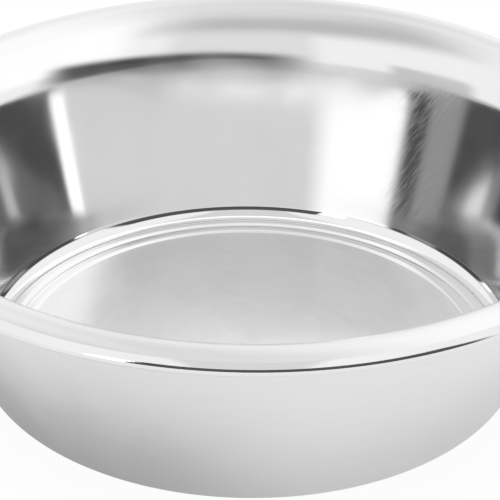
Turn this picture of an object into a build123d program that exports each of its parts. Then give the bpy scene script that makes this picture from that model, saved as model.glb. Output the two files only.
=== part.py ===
from build123d import *
import os
from math import asin, cos, degrees, radians, sin

# A round stainless steel pan, pressed from one disc of sheet.
# The sheet is drawn as the neutral line (the middle of its thickness) of one half section,
# walked from the centre of the floor out to the cut edge under the folded rim, then given its
# thickness to both sides and revolved about +Z. The pan stands on z = 0.

# ---- Driving dimensions, mm and degrees ----
RIM_DIAMETER = 231.0          # over the folded rim
OVERALL_HEIGHT = 67.5         # table to the top of the rim
SHEET = 0.6                   # sheet thickness

WALL_ANGLE = 74.5             # the straight wall, measured from the horizontal
CORNER_RADIUS = 4.8           # floor to wall, on the neutral line

FLOOR_DISC_RADIUS = 68.3      # the flat centre disc, up to the inner of the two beads
BEAD_COUNT = 2                # raised rings pressed side by side around the disc
BEAD_PITCH = 4.6              # width of one bead, valley to valley
BEAD_CROWN_RADIUS = 4.4       # rounded top of a bead, on the neutral line
BEAD_VALLEY_RADIUS = 1.4      # foot of a bead, on the neutral line

FLARE_RADIUS = 28.0           # the wall sweeps outwards below the rim, on the neutral line
FLARE_END_ANGLE = 39.6        # direction of the sheet where the rim's crest starts
CREST_RADIUS = 8.0            # broad top of the rim, outside radius
CREST_END_SLOPE = 45.0        # how steeply the crest runs down where the curl starts
CURL_RADIUS = 1.6             # tight curl at the rim's outer edge, outside radius
CURL_TURN = 150.0             # how far the curl turns the sheet back under the crest
TUCK_LENGTH = 7.5             # the last straight length under the crest; it stops short of the flare

# ---- Worked-out dimensions ----
HALF_SHEET = SHEET / 2
CURL_CENTRE_R = RIM_DIAMETER / 2 - CURL_RADIUS
CREST_CENTRE_R = CURL_CENTRE_R - (CREST_RADIUS - CURL_RADIUS) * sin(radians(CREST_END_SLOPE))
CREST_CENTRE_Z = OVERALL_HEIGHT - CREST_RADIUS


def direction(angle):
    """Unit vector in the half section: X outwards from the axis, Y up."""
    return Vector(cos(radians(angle)), sin(radians(angle)))


def left_of(angle):
    """Unit vector to the left of a heading; the left side of the walk is the inside of the pan."""
    return direction(angle + 90)


def bead_flank_angle():
    """Steepest slope of a bead, from its pitch and its two radii."""
    return degrees(asin(BEAD_PITCH / (2 * (BEAD_CROWN_RADIUS + BEAD_VALLEY_RADIUS))))


def walk():
    """The moves along the neutral line: ("run", length) or ("bend", radius, angle).

    A positive bend turns left, which is upwards on the floor; a negative one turns right.
    """
    flank = bead_flank_angle()
    beads = [("bend", BEAD_VALLEY_RADIUS, flank)]
    for number in range(BEAD_COUNT):
        beads.append(("bend", BEAD_CROWN_RADIUS, -2 * flank))
        last = number == BEAD_COUNT - 1
        beads.append(("bend", BEAD_VALLEY_RADIUS, flank if last else 2 * flank))

    corner = ("bend", CORNER_RADIUS, WALL_ANGLE)
    flare = ("bend", FLARE_RADIUS, FLARE_END_ANGLE - WALL_ANGLE)
    crest = ("bend", CREST_RADIUS - HALF_SHEET, -FLARE_END_ANGLE - CREST_END_SLOPE)
    curl = ("bend", CURL_RADIUS - HALF_SHEET, -CURL_TURN)

    # The crest's centre is fixed by the rim diameter and the height. The wall's straight run and
    # the flat land beside the corner take up what the bends leave.
    bends_end, heading = follow(beads + [corner, flare], Vector(FLOOR_DISC_RADIUS, HALF_SHEET), 0)
    crest_centre = Vector(CREST_CENTRE_R, CREST_CENTRE_Z)
    flare_end = crest_centre + left_of(heading) * (CREST_RADIUS - HALF_SHEET)
    rest = flare_end - bends_end
    wall_run = rest.Y / sin(radians(WALL_ANGLE))
    land = rest.X - wall_run * cos(radians(WALL_ANGLE))
    if land < 0 or wall_run < 0:
        raise ValueError("the beads, corner and rim don't fit in this diameter and height")

    disc = ("run", FLOOR_DISC_RADIUS)
    rim = [flare, crest, curl, ("run", TUCK_LENGTH)]
    return [disc] + beads + [("run", land), corner, ("run", wall_run)] + rim


def step(move, point, heading):
    """Where one move ends, and the heading there."""
    if move[0] == "run":
        return point + direction(heading) * move[1], heading
    radius, turn = move[1], move[2]
    side = 1 if turn > 0 else -1
    centre = point + left_of(heading) * radius * side
    end_heading = heading + turn
    return centre - left_of(end_heading) * radius * side, end_heading


def follow(moves, point, heading):
    """The end of a list of moves, and the heading there."""
    for move in moves:
        point, heading = step(move, point, heading)
    return point, heading


def to_section(point):
    """A point of the half section, placed on the XZ plane."""
    return Vector(point.X, 0, point.Y)


def sheet_side(moves, offset):
    """The edges of one side of the sheet, at an offset to the left of the neutral line."""
    edges = []
    point, heading = Vector(0, HALF_SHEET), 0
    for move in moves:
        end, end_heading = step(move, point, heading)
        first = point + left_of(heading) * offset
        last = end + left_of(end_heading) * offset
        if move[0] == "run":
            edges.append(Edge.make_line(to_section(first), to_section(last)))
        else:
            middle, middle_heading = step((move[0], move[1], move[2] / 2), point, heading)
            halfway = middle + left_of(middle_heading) * offset
            edges.append(Edge.make_three_point_arc(to_section(first), to_section(halfway), to_section(last)))
        point, heading = end, end_heading
    return edges


def pan_shell():
    """The whole pressed sheet: floor, beads, corner, wall, flare and folded rim."""
    moves = walk()
    inside = sheet_side(moves, HALF_SHEET)
    outside = sheet_side(moves, -HALF_SHEET)
    axis_edge = Edge.make_line(outside[0] @ 0, inside[0] @ 0)
    cut_edge = Edge.make_line(inside[-1] @ 1, outside[-1] @ 1)
    outline = Wire(inside + [cut_edge] + outside + [axis_edge])
    return revolve(Face(outline), Axis.Z, 360)


os.makedirs("parts", exist_ok=True)

shell = pan_shell()
shell.label = "pan_shell"
export_step(shell, "parts/pan_shell.step")

box = shell.bounding_box()
print("pan_shell", round(box.size.X, 3), round(box.size.Z, 3), "mm,", round(shell.volume / 1000, 2), "cm3")
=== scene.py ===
import math

import bpy
from mathutils import Matrix, Vector


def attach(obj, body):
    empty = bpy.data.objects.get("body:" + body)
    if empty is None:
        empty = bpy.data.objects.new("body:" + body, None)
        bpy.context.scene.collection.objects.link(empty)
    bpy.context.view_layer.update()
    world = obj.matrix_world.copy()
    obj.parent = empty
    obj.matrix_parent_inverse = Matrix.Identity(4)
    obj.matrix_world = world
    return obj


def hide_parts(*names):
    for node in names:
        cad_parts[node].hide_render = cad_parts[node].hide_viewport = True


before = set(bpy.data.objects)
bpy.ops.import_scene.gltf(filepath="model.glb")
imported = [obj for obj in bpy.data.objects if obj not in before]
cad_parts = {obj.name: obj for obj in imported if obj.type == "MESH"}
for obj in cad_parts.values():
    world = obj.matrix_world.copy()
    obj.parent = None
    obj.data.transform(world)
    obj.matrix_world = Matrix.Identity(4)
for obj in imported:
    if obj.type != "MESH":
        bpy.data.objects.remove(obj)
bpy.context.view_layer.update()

# A stainless steel pan pressed from one disc of sheet, on a pale studio floor.
# Lengths are metres and angles are degrees, in the CAD frame: +Z up, the pan stands on z = 0.

# ---- The pan's section: the driving dimensions of the CAD part ----
RIM_RADIUS = 0.1155
OVERALL_HEIGHT = 0.0675
SHEET = 0.0006
HALF_SHEET = SHEET / 2
WALL_ANGLE = 74.5
CORNER_RADIUS = 0.0048
FLOOR_DISC_RADIUS = 0.0683
BEAD_COUNT = 2
BEAD_PITCH = 0.0046
BEAD_CROWN_RADIUS = 0.0044
BEAD_VALLEY_RADIUS = 0.0014
FLARE_RADIUS = 0.028
FLARE_END_ANGLE = 39.6
CREST_RADIUS = 0.008
CREST_END_SLOPE = 45.0
CURL_RADIUS = 0.0016
CURL_TURN = 150.0
TUCK_LENGTH = 0.0075
CREST_CENTRE = Vector((
    RIM_RADIUS - CURL_RADIUS - (CREST_RADIUS - CURL_RADIUS) * math.sin(math.radians(CREST_END_SLOPE)),
    OVERALL_HEIGHT - CREST_RADIUS))

# ---- How finely the visual mesh follows it ----
TURNS = 288                   # faces around the pan
ARC_STEP = 4.0                # degrees of bend per face across a curve
RUN_STEP = 0.004              # length of a face along a straight run

# ---- The material slots in order, and where the two mirror-bright finishes lie ----
INSIDE, DISC, OUTSIDE, CORNER, EDGE = range(5)
CORNER_START = 0.0777         # the tight corner where the wall rises from the floor
CORNER_TOP = 0.0042
EDGE_WIDTH = 0.0019           # the rim's curl: how far in from the rim, and how far down
EDGE_DEPTH = 0.0034
EDGE_START = RIM_RADIUS - EDGE_WIDTH
EDGE_BOTTOM = OVERALL_HEIGHT - EDGE_DEPTH


def direction(angle):
    """Unit vector at an angle from X towards Y. In the half section, X is outwards and Y is up."""
    return Vector((math.cos(math.radians(angle)), math.sin(math.radians(angle))))


def left_of(angle):
    """Unit vector a quarter turn to the left."""
    return direction(angle + 90)


def step(move, point, heading, share=1.0):
    """Where a share of one move ends, and the heading there."""
    if move[0] == "run":
        return point + direction(heading) * (move[1] * share), heading
    radius, turn = move[1], move[2]
    side = 1 if turn > 0 else -1
    centre = point + left_of(heading) * (radius * side)
    end_heading = heading + turn * share
    return centre - left_of(end_heading) * (radius * side), end_heading


def walk():
    """The moves along the middle of the sheet, from the axis to the cut edge under the rim."""
    flank = math.degrees(math.asin(BEAD_PITCH / (2 * (BEAD_CROWN_RADIUS + BEAD_VALLEY_RADIUS))))
    beads = [("bend", BEAD_VALLEY_RADIUS, flank)]
    for number in range(BEAD_COUNT):
        last = number == BEAD_COUNT - 1
        beads.append(("bend", BEAD_CROWN_RADIUS, -2 * flank))
        beads.append(("bend", BEAD_VALLEY_RADIUS, flank if last else 2 * flank))
    corner = ("bend", CORNER_RADIUS, WALL_ANGLE)
    flare = ("bend", FLARE_RADIUS, FLARE_END_ANGLE - WALL_ANGLE)
    crest = ("bend", CREST_RADIUS - HALF_SHEET, -FLARE_END_ANGLE - CREST_END_SLOPE)
    curl = ("bend", CURL_RADIUS - HALF_SHEET, -CURL_TURN)
    point, heading = Vector((FLOOR_DISC_RADIUS, HALF_SHEET)), 0
    for move in beads + [corner, flare]:
        point, heading = step(move, point, heading)
    rest = CREST_CENTRE + left_of(heading) * (CREST_RADIUS - HALF_SHEET) - point
    wall_run = rest.y / math.sin(math.radians(WALL_ANGLE))
    land = rest.x - wall_run * math.cos(math.radians(WALL_ANGLE))
    rim = [flare, crest, curl, ("run", TUCK_LENGTH)]
    return [("run", FLOOR_DISC_RADIUS)] + beads + [("run", land), corner, ("run", wall_run)] + rim


def sheet_side(offset):
    """Points along one side of the sheet, at an offset to the left of its middle, from the axis out."""
    points = []
    point, heading = Vector((0, HALF_SHEET)), 0
    for move in walk():
        if move[0] == "run":
            count = max(1, round(move[1] / RUN_STEP))
        else:
            count = max(2, round(abs(move[2]) / ARC_STEP))
        for number in range(count):
            here, here_heading = step(move, point, heading, number / count)
            points.append(here + left_of(here_heading) * offset)
        point, heading = step(move, point, heading)
    points.append(point + left_of(heading) * offset)
    return points


def revolve(name, outline):
    """A closed surface of revolution about Z from an outline that starts and ends on the axis."""
    rings = outline[1:-1]
    low, high = outline[-1], outline[0]
    vertices = [(0, 0, high.y), (0, 0, low.y)]
    for turn in range(TURNS):
        angle = 2 * math.pi * turn / TURNS
        for point in rings:
            vertices.append((point.x * math.cos(angle), point.x * math.sin(angle), point.y))
    faces = []
    count = len(rings)
    for turn in range(TURNS):
        here = 2 + turn * count
        there = 2 + (turn + 1) % TURNS * count
        faces.append((0, here, there))
        faces.append((1, there + count - 1, here + count - 1))
        for ring in range(count - 1):
            faces.append((here + ring, here + ring + 1, there + ring + 1, there + ring))
    mesh = bpy.data.meshes.new(name)
    mesh.from_pydata(vertices, [], faces)
    mesh.validate()
    piece = bpy.data.objects.new(name, mesh)
    bpy.context.scene.collection.objects.link(piece)
    for polygon in mesh.polygons:
        polygon.use_smooth = True
    return piece


def finish_at(under, radius, height):
    """The material slot at a place on the sheet's upper side or its underside."""
    on_edge = radius > EDGE_START
    if under or (on_edge and height < EDGE_BOTTOM):
        return OUTSIDE
    if radius < FLOOR_DISC_RADIUS:
        return DISC
    if radius > CORNER_START and height < CORNER_TOP:
        return CORNER
    if on_edge:
        return EDGE
    return INSIDE


def pan_shell():
    """The visual pan: one closed skin, with each face in its finish's material slot."""
    inside = sheet_side(HALF_SHEET)
    outside = sheet_side(-HALF_SHEET)
    piece = revolve("pan_shell_skin", inside + outside[::-1])
    # Each turn's faces are the two at the axis, above and under, then those from the axis to the
    # sheet's cut edge, the cut edge's own, and those back along the underside.
    faces_per_turn = len(inside) + len(outside) - 1
    first_under = len(inside) + 1
    for polygon in piece.data.polygons:
        place = polygon.index % faces_per_turn
        under = place == 1 or place >= first_under
        radius = math.hypot(polygon.center.x, polygon.center.y)
        polygon.material_index = finish_at(under, radius, polygon.center.z)
    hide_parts("pan_shell")
    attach(piece, "root")
    return piece


# ---- Steel finishes ----
# Each finish is a polished or brushed stainless surface whose grain follows the pan. In the grains,
# "around" is the unit vector from the axis, which has no seam, and "across" is a coordinate that
# changes along the section: radius plus height.

STEEL_COLOUR = (0.75, 0.75, 0.75, 1)
SMALLEST_RADIUS = 0.00001     # keeps the axis itself from a division by zero

# Noises: cells per metre, detail and roughness.
PATCHES = (28.0, 2.0, 0.55)   # smudges and polishing patches
WAVES = (14.0, 1.0, 0.4)      # slow unevenness of the pressed sheet
PEEL = (2600.0, 0.0, 0.5)     # fine unevenness of the folded edge
NOISE_LOW = 0.3               # the middle of a noise's 0 to 1, where nearly all of it lies
NOISE_HIGH = 0.7
PATCH_TONE = 0.97             # how dark a patch gets, as a share
BURNISHED_PATCH_TONE = 0.96

# The fine turning marks run round the pan, so the blur is a quarter turn from them: along the section.
BLUR_TURN = 0.25

# Grains: the noise's cells per radian round the pan and per metre across, its detail and its roughness.
UPRIGHT_GRAIN = (90.0, 12.0, 3.0, 0.6)
DISC_GRAIN = (3.0, 420.0, 1.0, 0.5)
OUTSIDE_GRAIN = (5.0, 1600.0, 1.0, 0.5)

# Satin zones on the inside: the radius where each starts, the one where it is full, and what it adds
# to the roughness from there outwards.
SATIN_ZONES = (
    (FLOOR_DISC_RADIUS, FLOOR_DISC_RADIUS + 0.0007, 0.10),     # the beads
    (CORNER_START - 0.0005, CORNER_START + 0.0003, -0.10),     # polished again from the corner
    (0.0995, 0.1045, 0.22),                                    # the top of the flare, and the crest
)

# One worn place on the wall has fine slanted rub marks.
RUBBED_AT = 52.0              # degrees round the pan from +X
RUBBED_WIDTH = (9.0, 3.0)     # degrees to each side where it has faded out, and where it is full
RUBBED_TOP = 0.058            # none above this height
RUBBED_FADE = 0.008
RUB_MARK_FINENESS = 150.0     # marks per radian round the pan
RUB_MARK_SLANT = 850.0        # marks crossed per metre across
RUB_MARK_BREAKS = 150.0       # how often a mark breaks off, per metre across
RUB_MARK_NOISE = (1.0, 1.0, 0.5)
RUB_MARK_LOW = 0.45           # the noise from which a mark starts to show, and where it is full
RUB_MARK_HIGH = 0.65


class Nodes:
    """A small helper that adds nodes to a tree and links them."""

    def __init__(self, tree):
        self.tree = tree

    def add(self, kind, **settings):
        node = self.tree.nodes.new(kind)
        for name, value in settings.items():
            setattr(node, name, value)
        return node

    def link(self, source, target):
        """Links an output to an input, or sets the input to a plain value."""
        if hasattr(source, "is_output"):
            self.tree.links.new(source, target)
        else:
            target.default_value = source

    def link_all(self, node, **sources):
        """Links or sets inputs by name, with an underscore for each space."""
        for name, source in sources.items():
            self.link(source, node.inputs[name.replace("_", " ")])

    def math(self, operation, first, second=0.0):
        node = self.add("ShaderNodeMath", operation=operation)
        self.link(first, node.inputs[0])
        self.link(second, node.inputs[1])
        return node.outputs[0]

    def times(self, first, second):
        return self.math("MULTIPLY", first, second)

    def plus(self, first, second):
        return self.math("ADD", first, second)

    def minus(self, first, second):
        return self.math("SUBTRACT", first, second)

    def ramp(self, value, low, high, to_low=0.0, to_high=1.0):
        """Value mapped smoothly from low..high to to_low..to_high, held at the ends."""
        node = self.add("ShaderNodeMapRange", interpolation_type="SMOOTHSTEP")
        self.link_all(node, Value=value, From_Min=low, From_Max=high, To_Min=to_low, To_Max=to_high)
        return node.outputs["Result"]

    def noise(self, vector, scale, detail, roughness):
        node = self.add("ShaderNodeTexNoise")
        self.link_all(node, Vector=vector, Scale=scale, Detail=detail, Roughness=roughness)
        return node.outputs["Fac"]

    def mix(self, factor, first, second):
        node = self.add("ShaderNodeMix", data_type="FLOAT")
        self.link_all(node, Factor=factor, A=first, B=second)
        return node.outputs["Result"]

    def combine(self, x, y, z):
        node = self.add("ShaderNodeCombineXYZ")
        self.link_all(node, X=x, Y=y, Z=z)
        return node.outputs[0]

    def separate(self, vector):
        node = self.add("ShaderNodeSeparateXYZ")
        self.link(vector, node.inputs[0])
        return node.outputs

    def bump(self, height, depth):
        node = self.add("ShaderNodeBump")
        node.inputs["Distance"].default_value = depth
        self.link(height, node.inputs["Height"])
        return node

    def place(self):
        """The place on the piece."""
        return self.add("ShaderNodeTexCoord").outputs["Object"]

    def along(self, x, y, way):
        """How far the vector x, y reaches along a unit vector."""
        return self.plus(self.times(x, way[0]), self.times(y, way[1]))


def pan_coordinates(nodes):
    """The around vector's two parts, the across coordinate, the radius and the height."""
    x, y, height = nodes.separate(nodes.place())
    radius = nodes.math("SQRT", nodes.plus(nodes.times(x, x), nodes.times(y, y)))
    divisor = nodes.math("MAXIMUM", radius, SMALLEST_RADIUS)
    around_x = nodes.math("DIVIDE", x, divisor)
    around_y = nodes.math("DIVIDE", y, divisor)
    return around_x, around_y, nodes.plus(radius, height), radius, height


def grain_lines(nodes, coordinates, grain):
    """0 to 1: the lines of one of the grains above."""
    around_x, around_y, across = coordinates[:3]
    per_radian, per_metre, detail, roughness = grain
    vector = nodes.combine(nodes.times(around_x, per_radian), nodes.times(around_y, per_radian),
                           nodes.times(across, per_metre))
    return nodes.noise(vector, 1.0, detail, roughness)


def rub_marks(nodes, coordinates):
    """0 to 1: fine slanted marks in the worn place on the wall."""
    around_x, around_y, across, radius, height = coordinates
    outward = direction(RUBBED_AT)
    slant = nodes.times(across, RUB_MARK_SLANT)
    x = nodes.minus(nodes.times(around_x, RUB_MARK_FINENESS), nodes.times(slant, outward.y))
    y = nodes.plus(nodes.times(around_y, RUB_MARK_FINENESS), nodes.times(slant, outward.x))
    breaks = nodes.times(across, RUB_MARK_BREAKS)
    marks = nodes.noise(nodes.combine(x, y, breaks), *RUB_MARK_NOISE)
    marks = nodes.ramp(marks, RUB_MARK_LOW, RUB_MARK_HIGH)
    edges = [math.cos(math.radians(angle)) for angle in RUBBED_WIDTH]
    worn = nodes.ramp(nodes.along(around_x, around_y, outward), *edges)
    above_corner = nodes.ramp(height, CORNER_TOP, CORNER_TOP + RUBBED_FADE)
    below_rim = nodes.ramp(height, RUBBED_TOP - RUBBED_FADE, RUBBED_TOP, 1.0, 0.0)
    return nodes.times(nodes.times(marks, worn), nodes.times(above_corner, below_rim))


def new_steel(name):
    """A new metal material: it, its nodes, its shader, and its 0 to 1 patches."""
    material = bpy.data.materials.new(name)
    material.use_nodes = True
    nodes = Nodes(material.node_tree)
    shader = material.node_tree.nodes["Principled BSDF"]
    shader.inputs["Metallic"].default_value = 1
    patches = nodes.noise(nodes.place(), *PATCHES)
    return material, nodes, shader, patches


def set_tone(nodes, shader, tone):
    """The steel's colour, darkened by a 0 to 1 tone."""
    colour = nodes.add("ShaderNodeMix", data_type="RGBA", blend_type="MULTIPLY")
    nodes.link_all(colour, Factor=1.0, A=STEEL_COLOUR, B=tone)
    nodes.link(colour.outputs["Result"], shader.inputs["Base Color"])


def steel(name, roughness, spread, anisotropy, grain, streaks=1.0, wave_depth=0.0, grain_depth=0.0,
          satin_zones=(), rubbed=0.0):
    """A steel finish. The roughness varies by spread to each side. streaks is the tone of the grain's
    darkest lines. The depths, in metres, are of the sheet's slow unevenness and of the grain; rubbed
    is what the rub marks add to the roughness."""
    material, nodes, shader, patches = new_steel(name)
    coordinates = pan_coordinates(nodes)
    radius = coordinates[3]
    lines = grain_lines(nodes, coordinates, grain)
    patch_tone = nodes.ramp(patches, NOISE_LOW, NOISE_HIGH, PATCH_TONE, 1.0)
    line_tone = nodes.ramp(lines, NOISE_LOW, NOISE_HIGH, streaks, 1.0)
    set_tone(nodes, shader, nodes.times(patch_tone, line_tone))

    rough = nodes.ramp(patches, NOISE_LOW, NOISE_HIGH, roughness - spread, roughness + spread)
    for start, full, added in satin_zones:
        rough = nodes.plus(rough, nodes.ramp(radius, start, full, 0.0, added))
    if rubbed:
        rough = nodes.plus(rough, nodes.times(rub_marks(nodes, coordinates), rubbed))
    nodes.link(rough, shader.inputs["Roughness"])

    if wave_depth:
        slow = nodes.bump(nodes.noise(nodes.place(), *WAVES), wave_depth)
        fine = nodes.bump(lines, grain_depth)
        nodes.link(slow.outputs["Normal"], fine.inputs["Normal"])
        nodes.link(fine.outputs["Normal"], shader.inputs["Normal"])

    tangent = nodes.add("ShaderNodeTangent", direction_type="RADIAL", axis="Z")
    nodes.link(tangent.outputs[0], shader.inputs["Tangent"])
    shader.inputs["Anisotropic"].default_value = anisotropy
    shader.inputs["Anisotropic Rotation"].default_value = BLUR_TURN
    return material


def burnished_steel(name, peel_depth=0.0):
    """Mirror-bright steel, where the sheet is bent tightest. peel_depth is the depth, in metres, of
    its fine unevenness."""
    material, nodes, shader, patches = new_steel(name)
    set_tone(nodes, shader, nodes.ramp(patches, NOISE_LOW, NOISE_HIGH, BURNISHED_PATCH_TONE, 1.0))
    shader.inputs["Roughness"].default_value = 0
    if peel_depth:
        peel = nodes.bump(nodes.noise(nodes.place(), *PEEL), peel_depth)
        nodes.link(peel.outputs["Normal"], shader.inputs["Normal"])
    return material


def polished_inside():
    return steel("steel_polished", roughness=0.10, spread=0.03, anisotropy=0.7, grain=UPRIGHT_GRAIN,
                 wave_depth=0.00002, grain_depth=0.0000002, satin_zones=SATIN_ZONES, rubbed=0.07)


def spun_disc():
    return steel("steel_spun_disc", roughness=0.28, spread=0.04, anisotropy=0.5, grain=DISC_GRAIN,
                 streaks=0.975)


def satin_outside():
    return steel("steel_satin", roughness=0.34, spread=0.05, anisotropy=0.5, grain=OUTSIDE_GRAIN,
                 streaks=0.98, wave_depth=0.00002, grain_depth=0.0000003)


def burnished_corner():
    return burnished_steel("steel_burnished_corner")


def burnished_edge():
    return burnished_steel("steel_burnished_edge", peel_depth=0.000005)


pan = pan_shell()
# In the order of the material slots.
for make_finish in (polished_inside, spun_disc, satin_outside, burnished_corner, burnished_edge):
    pan.data.materials.append(make_finish())


# ---- Camera: the photograph's viewing angle ----
CAMERA_TARGET_HEIGHT = 0.0641  # on the pan's axis; the distance and elevation are from here
CAMERA_DISTANCE = 0.6426
CAMERA_ELEVATION = 27.4
CAMERA_PITCH = 29.8           # how far down it looks
CAMERA_ROLL = 0.6
CAMERA_LENS = 158.8           # millimetres, as is the sensor
CAMERA_SENSOR = 36


def add_camera():
    data = bpy.data.cameras.new("camera")
    data.lens = CAMERA_LENS
    data.sensor_width = CAMERA_SENSOR
    camera = bpy.data.objects.new("camera", data)
    bpy.context.scene.collection.objects.link(camera)
    elevation = math.radians(CAMERA_ELEVATION)
    pitch = math.radians(CAMERA_PITCH)
    back = CAMERA_DISTANCE * math.cos(elevation)
    up = CAMERA_DISTANCE * math.sin(elevation)
    place = Vector((0, -back, up + CAMERA_TARGET_HEIGHT))
    tilt = Matrix.Rotation(math.pi / 2 - pitch, 4, "X")
    roll = Matrix.Rotation(math.radians(CAMERA_ROLL), 4, "Z")
    camera.matrix_world = Matrix.Translation(place) @ tilt @ roll
    bpy.context.scene.camera = camera


add_camera()


# ---- Floor ----
FLOOR_SIZE = 6.0
FLOOR_GAP = 0.0002            # keeps the floor's face clear of the pan's own flat underside
BACKDROP_LIGHT = 1.0          # the floor and the surroundings, seen directly
CONTACT_SHADE = 0.03          # how much darker the floor is there against the pan
FLOOR_LIGHT = 1.11            # the floor, seen in the pan
FLOOR_SHADE = 0.35            # how much darker it is there against the pan
FLOOR_SHADE_FROM = 0.080      # the radius where both shades start to fade, and where they end
FLOOR_SHADE_TO = 0.122
LEFT_SHADE = 0.30             # how much darker again it is on the left, seen in the pan
LEFT_SHADE_FROM = 0.088
LEFT_SHADE_TO = 0.135
LEFT_SIDE = (-0.85, -0.53)    # the way that shade lies from the pan
LEFT_SPREAD = (0.2, 1.0)      # its start and its full strength, by how much a place lies that way


def add_floor():
    """A pale floor that glows evenly, with soft shade where the pan stands and a deeper one on its left.
    The shade is for the pan's reflections; seen directly, the floor is nearly plain."""
    bpy.ops.mesh.primitive_plane_add(size=FLOOR_SIZE, location=(0, 0, -FLOOR_GAP))
    floor = bpy.context.object
    floor.name = "floor"
    material = bpy.data.materials.new("floor")
    material.use_nodes = True
    tree = material.node_tree
    tree.nodes.remove(tree.nodes["Principled BSDF"])
    nodes = Nodes(tree)
    around_x, around_y, _, radius, _ = pan_coordinates(nodes)
    near_pan = nodes.ramp(radius, FLOOR_SHADE_FROM, FLOOR_SHADE_TO, 1.0, 0.0)
    near_left = nodes.ramp(radius, LEFT_SHADE_FROM, LEFT_SHADE_TO, 1.0, 0.0)
    left = nodes.times(nodes.ramp(nodes.along(around_x, around_y, LEFT_SIDE), *LEFT_SPREAD), near_left)
    mirrored = nodes.minus(FLOOR_LIGHT, nodes.times(near_pan, FLOOR_SHADE))
    mirrored = nodes.minus(mirrored, nodes.times(left, LEFT_SHADE))
    direct = nodes.minus(BACKDROP_LIGHT, nodes.times(near_pan, CONTACT_SHADE))
    emission = nodes.add("ShaderNodeEmission")
    seen_directly = nodes.add("ShaderNodeLightPath").outputs["Is Camera Ray"]
    nodes.link(nodes.mix(seen_directly, mirrored, direct), emission.inputs["Strength"])
    nodes.link(emission.outputs[0], tree.nodes["Material Output"].inputs["Surface"])
    floor.data.materials.append(material)


add_floor()


# ---- Studio ----
# The surroundings are a soft white studio, painted by direction: azimuth 0 is towards the camera's
# side (-Y) and 90 is +X; elevation is above the horizon. Each card is a soft-edged patch of light or
# shade. It is seen only by light that has met the pan the listed number of times: 3 is three or more,
# 1 is a first meeting with the satin or polished finishes, and 0 is one with a mirror-bright finish.
# Columns: meetings; azimuth from, to, softness at each; elevation from, to, softness at each; light.

SKY_LIGHT = 1.18
MOST_MEETINGS = 3.0
CARDS = (
    ((1,), 55, 170, 15, 15, 18, 60, 6, 10, 1.36),         # brighter right side
    ((1,), -18, 25, 10, 12, 14, 38, 4, 10, 0.98),         # dimmer middle over the camera
    ((1,), -85, 15, 30, 50, 52, 60, 17, 18, 0.66),        # grey ceiling over the camera
    ((1,), -75, 60, 10, 10, -10, 6, 1, 3, 0.85),          # dim horizon
    ((1,), -80, -55, 8, 8, 5, 14, 3, 5, 0.75),            # pale shade on the left horizon
    ((1,), 30, 66, 34, 20, 7, 13, 4, 4, 0.12),            # dark horizon, below its climbing right end
    ((2,), -110, 76, 15, 26, 53, 66, 3, 8, 0.93),         # grey ceiling
    ((2,), -180, 180, 1, 1, 74, 90, 8, 1, 1.25),          # its open middle
    ((2,), 110, 180, 20, 1, 64, 90, 8, 1, 1.9),           # bright back of the ceiling, right part
    ((2,), -180, -110, 1, 20, 64, 90, 8, 1, 1.9),         # and its left part
    ((2,), 102, 150, 22, 10, 50, 75, 4, 8, 1.7),          # bright high right side
    ((2,), 70, 116, 6, 24, 20, 42, 6, 8, 1.9),            # white panel on the right
    ((0, 2), -31, 60, 4, 9, -6, 45, 3, 5, 0.11),          # dark band round the camera
    ((2,), 26, 45, 9, 6, 21, 36, 6, 10, 0.5),             # paler part of that band
    ((0, 2), -42, -32, 1.2, 1.2, -6, 34, 4, 6, 2.2),      # narrow strip light on the left
    ((3,), -110, -68, 6, 6, 34, 62, 4, 4, 0.3),           # shade left, seen deep in the pan
    ((3,), 44, 66, 4, 4, 26, 48, 4, 4, 0.6),              # shade right, seen deep in the pan
    ((3,), 70, 90, 3, 3, 33, 47, 3, 3, 2.0),              # strip light on the right
    ((3,), -60, 110, 6, 6, 51, 62, 3, 4, 0.25),           # dim ceiling, seen deep in the pan
    ((3,), -46, -14, 6, 4, 18, 42, 4, 4, 0.3),            # dim front left, seen deep in the pan
    ((3,), -12, 46, 6, 8, 12, 48, 6, 6, 0.10),            # dark front, seen deep in the pan
    ((2,), 84, 108, 5, 5, -5, 12, 2, 6, 0.08),            # dark low card on the right
    ((2,), -108, -82, 5, 5, -5, 12, 2, 6, 0.16),          # dark low card on the left
)

# The dark horizon in front climbs to the right. It is one more card for first meetings of kind 1, in
# elevations measured from a line that rises this many degrees per degree of azimuth.
HORIZON_CLIMB = 0.105
HORIZON = (-6, 68, 23, 14, 8.5, 10.5, 3.5, 8)
HORIZON_LIGHT = 0.08

# A grey band straight overhead, for first meetings: its half width, how far forward it reaches and
# how low, as parts of the unit direction. Each has where it is full, then where it has faded out. It
# reaches further forward in the mirror-bright finishes.
OVERHEAD_WIDTH = (0.17, 0.24)
OVERHEAD_REACH = (0.02, -0.08)
OVERHEAD_MIRROR_REACH = (-0.70, -0.80)
OVERHEAD_HEIGHT = (0.68, 0.55)
OVERHEAD_LIGHT = 0.90


def card_mask(nodes, azimuth, elevation, card):
    """1 inside the card, 0 outside it; the soft edges lie outside its stated box."""
    az_from, az_to, az_soft_from, az_soft_to, el_from, el_to, soft_below, soft_above = card
    sides = nodes.times(nodes.ramp(azimuth, az_from - az_soft_from, az_from),
                        nodes.ramp(azimuth, az_to, az_to + az_soft_to, 1.0, 0.0))
    ends = nodes.times(nodes.ramp(elevation, el_from - soft_below, el_from),
                       nodes.ramp(elevation, el_to, el_to + soft_above, 1.0, 0.0))
    return nodes.times(sides, ends)


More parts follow.
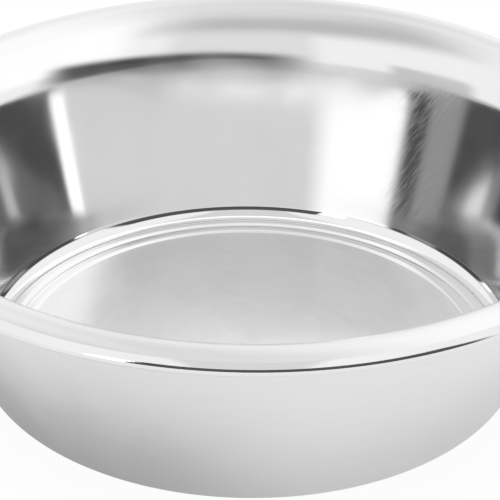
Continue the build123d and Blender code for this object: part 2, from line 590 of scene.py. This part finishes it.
def seen_by_meetings(nodes, path):
    """1 or 0 for each number in the cards' first column: whether this light has that number."""
    # Ray Depth is one more than the reflections when the surroundings are looked up.
    count = nodes.math("MINIMUM", nodes.minus(path["Ray Depth"], 1.0), MOST_MEETINGS)
    first = nodes.math("COMPARE", count, 1.0)
    mirror_bright = path["Is Singular Ray"]
    return {
        0: nodes.times(first, mirror_bright),
        1: nodes.times(first, nodes.minus(1.0, mirror_bright)),
        2: nodes.math("COMPARE", count, 2.0),
        3: nodes.math("COMPARE", count, MOST_MEETINGS),
    }


def with_overhead_band(nodes, light, x, y, z, seen):
    """The light with the grey band laid over it."""
    over = nodes.ramp(nodes.math("ABSOLUTE", x), *OVERHEAD_WIDTH, 1.0, 0.0)
    over = nodes.times(over, nodes.ramp(z, OVERHEAD_HEIGHT[1], OVERHEAD_HEIGHT[0]))
    for meeting, reach in ((0, OVERHEAD_MIRROR_REACH), (1, OVERHEAD_REACH)):
        band = nodes.times(over, nodes.ramp(y, reach[1], reach[0]))
        light = nodes.mix(nodes.times(band, seen[meeting]), light, OVERHEAD_LIGHT)
    return light


def with_cards(nodes, light, azimuth, elevation, seen):
    """The light with the cards and the climbing horizon laid over it, in their order."""
    for meetings, *box, card_light in CARDS:
        wanted = seen[meetings[0]]
        for meeting in meetings[1:]:
            wanted = nodes.plus(wanted, seen[meeting])
        mask = nodes.times(card_mask(nodes, azimuth, elevation, box), wanted)
        light = nodes.mix(mask, light, card_light)
    climbed = nodes.minus(elevation, nodes.times(azimuth, HORIZON_CLIMB))
    mask = nodes.times(card_mask(nodes, azimuth, climbed, HORIZON), seen[1])
    return nodes.mix(mask, light, HORIZON_LIGHT)


def add_studio():
    world = bpy.data.worlds.new("studio")
    bpy.context.scene.world = world
    world.use_nodes = True
    # The surroundings are only looked up along reflected rays, so that the count of reflections is
    # the same for all the light.
    world.cycles.sampling_method = "NONE"
    nodes = Nodes(world.node_tree)
    x, y, z = nodes.separate(nodes.add("ShaderNodeTexCoord").outputs["Generated"])
    azimuth = nodes.math("DEGREES", nodes.math("ARCTAN2", x, nodes.times(y, -1.0)))
    elevation = nodes.math("DEGREES", nodes.math("ARCSINE", z))
    path = nodes.add("ShaderNodeLightPath").outputs
    seen = seen_by_meetings(nodes, path)
    light = with_overhead_band(nodes, SKY_LIGHT, x, y, z, seen)
    light = with_cards(nodes, light, azimuth, elevation, seen)
    light = nodes.mix(path["Is Camera Ray"], light, BACKDROP_LIGHT)
    background = world.node_tree.nodes["Background"]
    background.inputs["Color"].default_value = (1, 1, 1, 1)
    nodes.link(light, background.inputs["Strength"])
    bpy.context.scene.view_settings.view_transform = "Standard"


add_studio()
